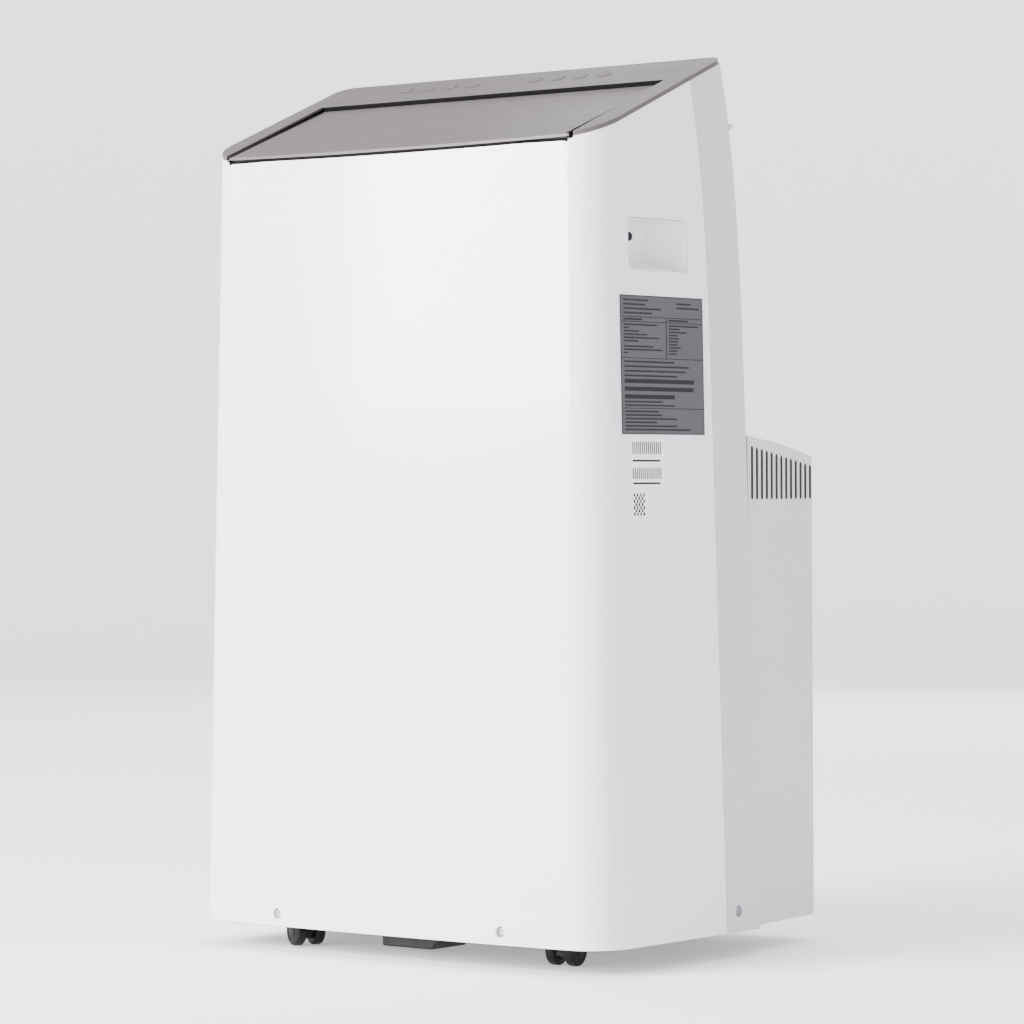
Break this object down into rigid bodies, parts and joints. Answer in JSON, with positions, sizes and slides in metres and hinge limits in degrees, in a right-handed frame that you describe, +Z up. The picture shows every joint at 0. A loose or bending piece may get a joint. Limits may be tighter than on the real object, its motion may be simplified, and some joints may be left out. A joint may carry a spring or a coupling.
{
  "type": "portable air conditioner",
  "caption": "Floor-standing portable air conditioner on casters with a sloping louvred top, side hand grips and a stepped rear housing with a round exhaust outlet.",
  "frame": {"origin": "on the floor under the middle of the bounding box", "axes": "+Z up, -Y is the front face, +X is the viewer's right when facing the front"},
  "size_m": [0.45, 0.345, 0.76],
  "materials": {
    "white_shell": "glossy cool white moulded plastic",
    "frame_grey": "satin warm grey metal-look finish",
    "black_plastic": "fine-textured black moulded plastic",
    "button_grey": "satin grey key caps with pale icons",
    "duct_white": "plain white moulded plastic",
    "blower_grey": "dark moulded plastic",
    "filter_net": "woven plastic net in a moulded frame",
    "fin_aluminium": "close bare aluminium fins",
    "copper": "drawn copper tube, slightly dulled",
    "compressor_black": "black enamelled steel",
    "zinc_steel": "zinc-plated sheet",
    "screw_steel": "zinc-plated pan-head screws",
    "board_green": "green circuit board",
    "rubber_black": "black rubber",
    "caster_body": "black nylon",
    "caster_tread": "black nylon, scuffed on the tread",
    "axle_steel": "bright steel pin"
  },
  "bodies": {
    "root": {"front_shell": "white_shell", "rear_cover": "white_shell", "handle_cup_left": "white_shell", "handle_cup_right": "white_shell", "rear_housing": "white_shell", "top_frame": "frame_grey", "outlet_throat": "black_plastic", "skid_foot": "black_plastic", "base_pan": "black_plastic", "evaporator_volute": "duct_white", "condenser_volute": "duct_white", "exhaust_collar": "duct_white", "exhaust_guard": "duct_white", "drip_tray": "duct_white", "drain_spigot": "duct_white", "evaporator_coil": "fin_aluminium", "condenser_coil": "fin_aluminium", "copper_pipes": "copper", "compressor": "compressor_black", "evaporator_fan_motor": "compressor_black", "condenser_fan_motor": "compressor_black", "control_box": "zinc_steel", "case_screws": "screw_steel", "control_board": "board_green", "compressor_grommets": "rubber_black", "cable_gland": "rubber_black"},
    "lid": {"louvre_flap": "frame_grey"},
    "vane_1": {"vane_1": "black_plastic"},
    "vane_2": {"vane_2": "black_plastic"},
    "vane_3": {"vane_3": "black_plastic"},
    "vane_4": {"vane_4": "black_plastic"},
    "vane_5": {"vane_5": "black_plastic"},
    "vane_6": {"vane_6": "black_plastic"},
    "vane_link": {"vane_link": "black_plastic"},
    "evaporator_fan": {"evaporator_blower": "blower_grey"},
    "condenser_fan": {"condenser_blower": "blower_grey"},
    "button_1": {"button_1": "button_grey"},
    "button_2": {"button_2": "button_grey"},
    "button_3": {"button_3": "button_grey"},
    "button_4": {"button_4": "button_grey"},
    "button_5": {"button_5": "button_grey"},
    "button_6": {"button_6": "button_grey"},
    "button_7": {"button_7": "button_grey"},
    "button_8": {"button_8": "button_grey"},
    "rear_grille": {"upper_intake_grille": "white_shell", "upper_filter": "filter_net"},
    "lower_filter": {"lower_filter": "filter_net"},
    "drain_plug": {"drain_plug": "rubber_black"},
    "caster_front_left": {"caster_fork_front_left": "caster_body", "caster_axle_front_left": "axle_steel"},
    "wheels_front_left": {"caster_wheels_front_left": "caster_tread"},
    "caster_front_right": {"caster_fork_front_right": "caster_body", "caster_axle_front_right": "axle_steel"},
    "wheels_front_right": {"caster_wheels_front_right": "caster_tread"},
    "caster_rear_left": {"caster_fork_rear_left": "caster_body", "caster_axle_rear_left": "axle_steel"},
    "wheels_rear_left": {"caster_wheels_rear_left": "caster_tread"},
    "caster_rear_right": {"caster_fork_rear_right": "caster_body", "caster_axle_rear_right": "axle_steel"},
    "wheels_rear_right": {"caster_wheels_rear_right": "caster_tread"}
  },
  "joints": [
    {"name": "lid_hinge", "type": "hinge", "parent": "root", "child": "lid", "pos_m": [0, -0.03348, 0.72823], "axis": [-1, 0, 0], "range_deg": [0, 50]},
    {"name": "vane_1_pivot", "type": "hinge", "parent": "root", "child": "vane_1", "pos_m": [-0.15, -0.08, 0.69], "axis": [0, 0, 1], "range_deg": [-30.2, 30.2]},
    {"name": "vane_2_pivot", "type": "hinge", "parent": "root", "child": "vane_2", "pos_m": [-0.09, -0.08, 0.69], "axis": [0, 0, 1], "range_deg": [-30.2, 30.2]},
    {"name": "vane_3_pivot", "type": "hinge", "parent": "root", "child": "vane_3", "pos_m": [-0.03, -0.08, 0.69], "axis": [0, 0, 1], "range_deg": [-30.2, 30.2]},
    {"name": "vane_4_pivot", "type": "hinge", "parent": "root", "child": "vane_4", "pos_m": [0.03, -0.08, 0.69], "axis": [0, 0, 1], "range_deg": [-30.2, 30.2]},
    {"name": "vane_5_pivot", "type": "hinge", "parent": "root", "child": "vane_5", "pos_m": [0.09, -0.08, 0.69], "axis": [0, 0, 1], "range_deg": [-30.2, 30.2]},
    {"name": "vane_6_pivot", "type": "hinge", "parent": "root", "child": "vane_6", "pos_m": [0.15, -0.08, 0.69], "axis": [0, 0, 1], "range_deg": [-30.2, 30.2]},
    {"name": "vane_link_slide", "type": "slide", "parent": "root", "child": "vane_link", "axis": [1, 0, 0], "range_m": [-0.008, 0.008]},
    {"name": "evaporator_fan_spin", "type": "hinge", "parent": "root", "child": "evaporator_fan", "pos_m": [0, -0.072, 0.56], "axis": [0, 1, 0], "continuous": true},
    {"name": "condenser_fan_spin", "type": "hinge", "parent": "root", "child": "condenser_fan", "pos_m": [0.066, 0.048, 0.165], "axis": [0, 1, 0], "continuous": true},
    {"name": "button_1_press", "type": "slide", "parent": "root", "child": "button_1", "axis": [0, 0.376, -0.9266], "range_m": [0, 0.001], "stiffness_N_per_m": 300, "springref_m": -0.0006},
    {"name": "button_2_press", "type": "slide", "parent": "root", "child": "button_2", "axis": [0, 0.376, -0.9266], "range_m": [0, 0.001], "stiffness_N_per_m": 300, "springref_m": -0.0006},
    {"name": "button_3_press", "type": "slide", "parent": "root", "child": "button_3", "axis": [0, 0.376, -0.9266], "range_m": [0, 0.001], "stiffness_N_per_m": 300, "springref_m": -0.0006},
    {"name": "button_4_press", "type": "slide", "parent": "root", "child": "button_4", "axis": [0, 0.376, -0.9266], "range_m": [0, 0.001], "stiffness_N_per_m": 300, "springref_m": -0.0006},
    {"name": "button_5_press", "type": "slide", "parent": "root", "child": "button_5", "axis": [0, 0.376, -0.9266], "range_m": [0, 0.001], "stiffness_N_per_m": 300, "springref_m": -0.0006},
    {"name": "button_6_press", "type": "slide", "parent": "root", "child": "button_6", "axis": [0, 0.376, -0.9266], "range_m": [0, 0.001], "stiffness_N_per_m": 300, "springref_m": -0.0006},
    {"name": "button_7_press", "type": "slide", "parent": "root", "child": "button_7", "axis": [0, 0.376, -0.9266], "range_m": [0, 0.001], "stiffness_N_per_m": 300, "springref_m": -0.0006},
    {"name": "button_8_press", "type": "slide", "parent": "root", "child": "button_8", "axis": [0, 0.376, -0.9266], "range_m": [0, 0.001], "stiffness_N_per_m": 300, "springref_m": -0.0006},
    {"name": "rear_grille_tilt", "type": "hinge", "parent": "root", "child": "rear_grille", "pos_m": [0, 0.0515, 0.4625], "axis": [-1, 0, 0], "range_deg": [0, 60]},
    {"name": "lower_filter_slide", "type": "slide", "parent": "root", "child": "lower_filter", "axis": [-1, 0, 0], "range_m": [0, 0.36]},
    {"name": "drain_plug_pull", "type": "slide", "parent": "root", "child": "drain_plug", "axis": [0, 1, 0], "range_m": [0, 0.02]},
    {"name": "caster_front_left_swivel", "type": "hinge", "parent": "root", "child": "caster_front_left", "pos_m": [-0.1425, -0.116, 0.035], "axis": [0, 0, 1], "continuous": true},
    {"name": "caster_front_left_roll", "type": "hinge", "parent": "caster_front_left", "child": "wheels_front_left", "pos_m": [-0.13334, -0.12, 0.013], "axis": [0.4003, 0.9164, 0], "continuous": true},
    {"name": "caster_front_right_swivel", "type": "hinge", "parent": "root", "child": "caster_front_right", "pos_m": [0.1425, -0.116, 0.035], "axis": [0, 0, 1], "continuous": true},
    {"name": "caster_front_right_roll", "type": "hinge", "parent": "caster_front_right", "child": "wheels_front_right", "pos_m": [0.14159, -0.10604, 0.013], "axis": [-0.9959, -0.0906, 0], "continuous": true},
    {"name": "caster_rear_left_swivel", "type": "hinge", "parent": "root", "child": "caster_rear_left", "pos_m": [-0.092, 0.122, 0.035], "axis": [0, 0, 1], "continuous": true},
    {"name": "caster_rear_left_roll", "type": "hinge", "parent": "caster_rear_left", "child": "wheels_rear_left", "pos_m": [-0.09026, 0.13185, 0.013], "axis": [-0.9848, 0.1736, 0], "continuous": true},
    {"name": "caster_rear_right_swivel", "type": "hinge", "parent": "root", "child": "caster_rear_right", "pos_m": [0.092, 0.122, 0.035], "axis": [0, 0, 1], "continuous": true},
    {"name": "caster_rear_right_roll", "type": "hinge", "parent": "caster_rear_right", "child": "wheels_rear_right", "pos_m": [0.08958, 0.1317, 0.013], "axis": [-0.9703, -0.2419, 0], "continuous": true}
  ],
  "couplings": [
    {"joint": "vane_1_pivot", "follows": "vane_link_slide", "rad_per_m": -65.45},
    {"joint": "vane_2_pivot", "follows": "vane_link_slide", "rad_per_m": -65.45},
    {"joint": "vane_3_pivot", "follows": "vane_link_slide", "rad_per_m": -65.45},
    {"joint": "vane_4_pivot", "follows": "vane_link_slide", "rad_per_m": -65.45},
    {"joint": "vane_5_pivot", "follows": "vane_link_slide", "rad_per_m": -65.45},
    {"joint": "vane_6_pivot", "follows": "vane_link_slide", "rad_per_m": -65.45}
  ]
}
